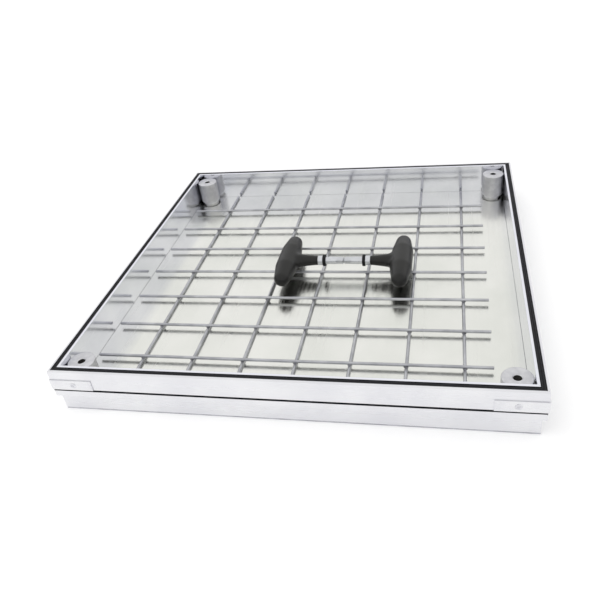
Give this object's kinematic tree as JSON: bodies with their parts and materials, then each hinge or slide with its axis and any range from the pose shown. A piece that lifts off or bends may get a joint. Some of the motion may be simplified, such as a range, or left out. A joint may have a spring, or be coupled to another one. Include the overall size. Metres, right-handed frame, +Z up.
{
  "type": "inspection cover",
  "caption": "Square recessed inspection cover: aluminium frame and bright tray with seal, mesh and two T-handle lifting keys.",
  "frame": {"origin": "middle of the frame's underside, on the surface it stands on", "axes": "+Z up, front towards -Y, the keys' shanks along X"},
  "size_m": [0.4234, 0.4234, 0.047],
  "materials": {
    "frame_aluminium": "mill-finish extrusion, satin",
    "rivet_aluminium": "drawn, plain",
    "tray_aluminium": "bright extrusion",
    "tray_bright_sheet": "bright rolled, mirror-like",
    "socket_steel": "turned, zinc plated",
    "mesh_wire": "cold drawn, galvanised",
    "seal_rubber": "extruded, matt",
    "grip_plastic": "moulded, fine spark-eroded texture",
    "shank_steel": "bright zinc plated",
    "washer_rubber": "moulded, matt"
  },
  "bodies": {
    "root": {"corner_angle_back_left": "frame_aluminium", "corner_angle_back_right": "frame_aluminium", "corner_angle_front_left": "frame_aluminium", "corner_angle_front_right": "frame_aluminium", "corner_rivets": "rivet_aluminium", "frame_bar_back": "frame_aluminium", "frame_bar_front": "frame_aluminium", "frame_bar_left": "frame_aluminium", "frame_bar_right": "frame_aluminium", "key_left_grip": "grip_plastic", "key_left_shank": "shank_steel", "key_left_washer": "washer_rubber", "key_right_grip": "grip_plastic", "key_right_shank": "shank_steel", "key_right_washer": "washer_rubber", "lifting_socket_back_left": "socket_steel", "lifting_socket_back_right": "socket_steel", "lifting_socket_front_left": "socket_steel", "lifting_socket_front_right": "socket_steel", "mesh_cross_wires": "mesh_wire", "mesh_long_wires": "mesh_wire", "rest_seal_back": "seal_rubber", "rest_seal_front": "seal_rubber", "rest_seal_left": "seal_rubber", "rest_seal_right": "seal_rubber", "rim_seal_back": "seal_rubber", "rim_seal_front": "seal_rubber", "rim_seal_left": "seal_rubber", "rim_seal_right": "seal_rubber", "tray_edge_back": "tray_aluminium", "tray_edge_front": "tray_aluminium", "tray_edge_left": "tray_aluminium", "tray_edge_right": "tray_aluminium", "tray_floor": "tray_bright_sheet"}
  },
  "joints": []
}
